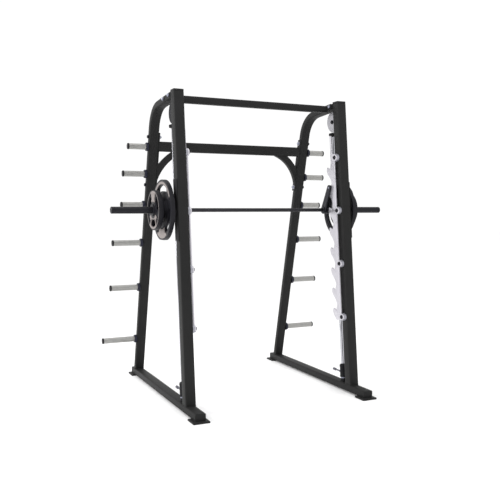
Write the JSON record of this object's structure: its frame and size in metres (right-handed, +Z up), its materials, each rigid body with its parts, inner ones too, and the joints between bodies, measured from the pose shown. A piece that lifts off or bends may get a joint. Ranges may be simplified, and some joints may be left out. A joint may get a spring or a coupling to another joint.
{
  "type": "smith machine",
  "caption": "Smith machine: leaning square-tube frame, guide rods, hooked catch plates, a sliding bar with weight plates, plate storage horns and safety stops.",
  "frame": {"origin": "floor level, at the middle of the base between the left and right runners and between their front and rear feet", "axes": "+X to the right seen from the open front, +Y from the front uprights to the rear uprights, +Z up"},
  "size_m": [2.18, 1.544, 2.1863],
  "materials": {
    "charcoal_powder_coat": "fine matte powder coat",
    "cap_plastic": "matte moulded plastic",
    "chrome": "polished chrome",
    "black_plastic": "semi-gloss moulded plastic",
    "satin_zinc": "satin zinc plate",
    "polished_steel": "polished plate steel",
    "galvanised_pipe": "satin galvanised pipe",
    "bumper_rubber": "moulded rubber",
    "latch_black_oxide": "black oxide",
    "black_enamel": "semi-gloss black enamel",
    "bar_gunmetal": "dark satin steel",
    "sleeve_black_oxide": "black oxide",
    "plate_rubber_and_face": "coated iron with a satin raised face",
    "guard_pad": "matte wear pad"
  },
  "bodies": {
    "frame": {"top_crossbeam": "charcoal_powder_coat", "rear_crossbeam": "charcoal_powder_coat", "front_upright_left": "charcoal_powder_coat", "upright_cap_left": "cap_plastic", "rear_upright_left": "charcoal_powder_coat", "base_runner_left": "charcoal_powder_coat", "knee_brace_left": "charcoal_powder_coat", "guide_rod_left": "chrome", "rod_foot_left": "black_plastic", "rod_bracket_left": "satin_zinc", "top_bumper_left": "bumper_rubber", "catch_plate_left": "polished_steel", "catch_standoff_left_1": "satin_zinc", "catch_standoff_left_2": "satin_zinc", "catch_standoff_left_3": "satin_zinc", "catch_standoff_left_4": "satin_zinc", "storage_horn_left_1": "galvanised_pipe", "storage_horn_left_2": "galvanised_pipe", "storage_horn_left_3": "galvanised_pipe", "storage_horn_left_4": "galvanised_pipe", "storage_horn_left_5": "galvanised_pipe", "storage_horn_left_6": "galvanised_pipe", "wear_guard_left": "guard_pad", "front_upright_right": "charcoal_powder_coat", "upright_cap_right": "cap_plastic", "rear_upright_right": "charcoal_powder_coat", "base_runner_right": "charcoal_powder_coat", "knee_brace_right": "charcoal_powder_coat", "guide_rod_right": "chrome", "rod_foot_right": "black_plastic", "rod_bracket_right": "satin_zinc", "top_bumper_right": "bumper_rubber", "catch_plate_right": "polished_steel", "catch_standoff_right_1": "satin_zinc", "catch_standoff_right_2": "satin_zinc", "catch_standoff_right_3": "satin_zinc", "catch_standoff_right_4": "satin_zinc", "storage_horn_right_1": "galvanised_pipe", "storage_horn_right_2": "galvanised_pipe", "storage_horn_right_3": "galvanised_pipe", "storage_horn_right_4": "galvanised_pipe", "storage_horn_right_5": "galvanised_pipe", "storage_horn_right_6": "galvanised_pipe", "wear_guard_right": "guard_pad"},
    "carriage": {"carriage_left": "black_enamel", "carriage_right": "black_enamel"},
    "bar": {"bar_shaft": "bar_gunmetal", "bar_sleeve_left": "sleeve_black_oxide", "bar_sleeve_right": "sleeve_black_oxide", "latch_left": "latch_black_oxide", "latch_right": "latch_black_oxide"},
    "large_plate_left": {"large_plate_left": "plate_rubber_and_face"},
    "small_plate_left": {"small_plate_left": "plate_rubber_and_face"},
    "safety_stop_left": {"safety_stop_left": "black_enamel"},
    "stop_pin_left": {"stop_pin_left": "chrome"},
    "large_plate_right": {"large_plate_right": "plate_rubber_and_face"},
    "small_plate_right": {"small_plate_right": "plate_rubber_and_face"},
    "safety_stop_right": {"safety_stop_right": "black_enamel"},
    "stop_pin_right": {"stop_pin_right": "chrome"}
  },
  "joints": [
    {"name": "bar_lift", "type": "slide", "parent": "frame", "child": "carriage", "axis": [0, 0.0968, 0.9953], "range_m": [-0.7666, 0.15332]},
    {"name": "bar_turn", "type": "hinge", "parent": "carriage", "child": "bar", "pos_m": [0, -0.23799, 1.367], "axis": [-1, 0, 0], "range_deg": [0, 45]},
    {"name": "large_plate_slide_left", "type": "slide", "parent": "bar", "child": "large_plate_left", "axis": [-1, 0, 0], "range_m": [0, 0.45]},
    {"name": "small_plate_slide_left", "type": "slide", "parent": "large_plate_left", "child": "small_plate_left", "axis": [-1, 0, 0], "range_m": [0, 0.4]},
    {"name": "safety_stop_slide_left", "type": "slide", "parent": "frame", "child": "safety_stop_left", "axis": [0, 0.0968, 0.9953], "range_m": [0, 0.9]},
    {"name": "stop_pin_pull_left", "type": "slide", "parent": "safety_stop_left", "child": "stop_pin_left", "axis": [0, 1, 0], "range_m": [0, 0.012], "stiffness_N_per_m": 1000, "springref_m": -0.005},
    {"name": "large_plate_slide_right", "type": "slide", "parent": "bar", "child": "large_plate_right", "axis": [1, 0, 0], "range_m": [0, 0.45]},
    {"name": "small_plate_slide_right", "type": "slide", "parent": "large_plate_right", "child": "small_plate_right", "axis": [1, 0, 0], "range_m": [0, 0.4]},
    {"name": "safety_stop_slide_right", "type": "slide", "parent": "frame", "child": "safety_stop_right", "axis": [0, 0.0968, 0.9953], "range_m": [0, 0.9]},
    {"name": "stop_pin_pull_right", "type": "slide", "parent": "safety_stop_right", "child": "stop_pin_right", "axis": [0, 1, 0], "range_m": [0, 0.012], "stiffness_N_per_m": 1000, "springref_m": -0.005}
  ]
}
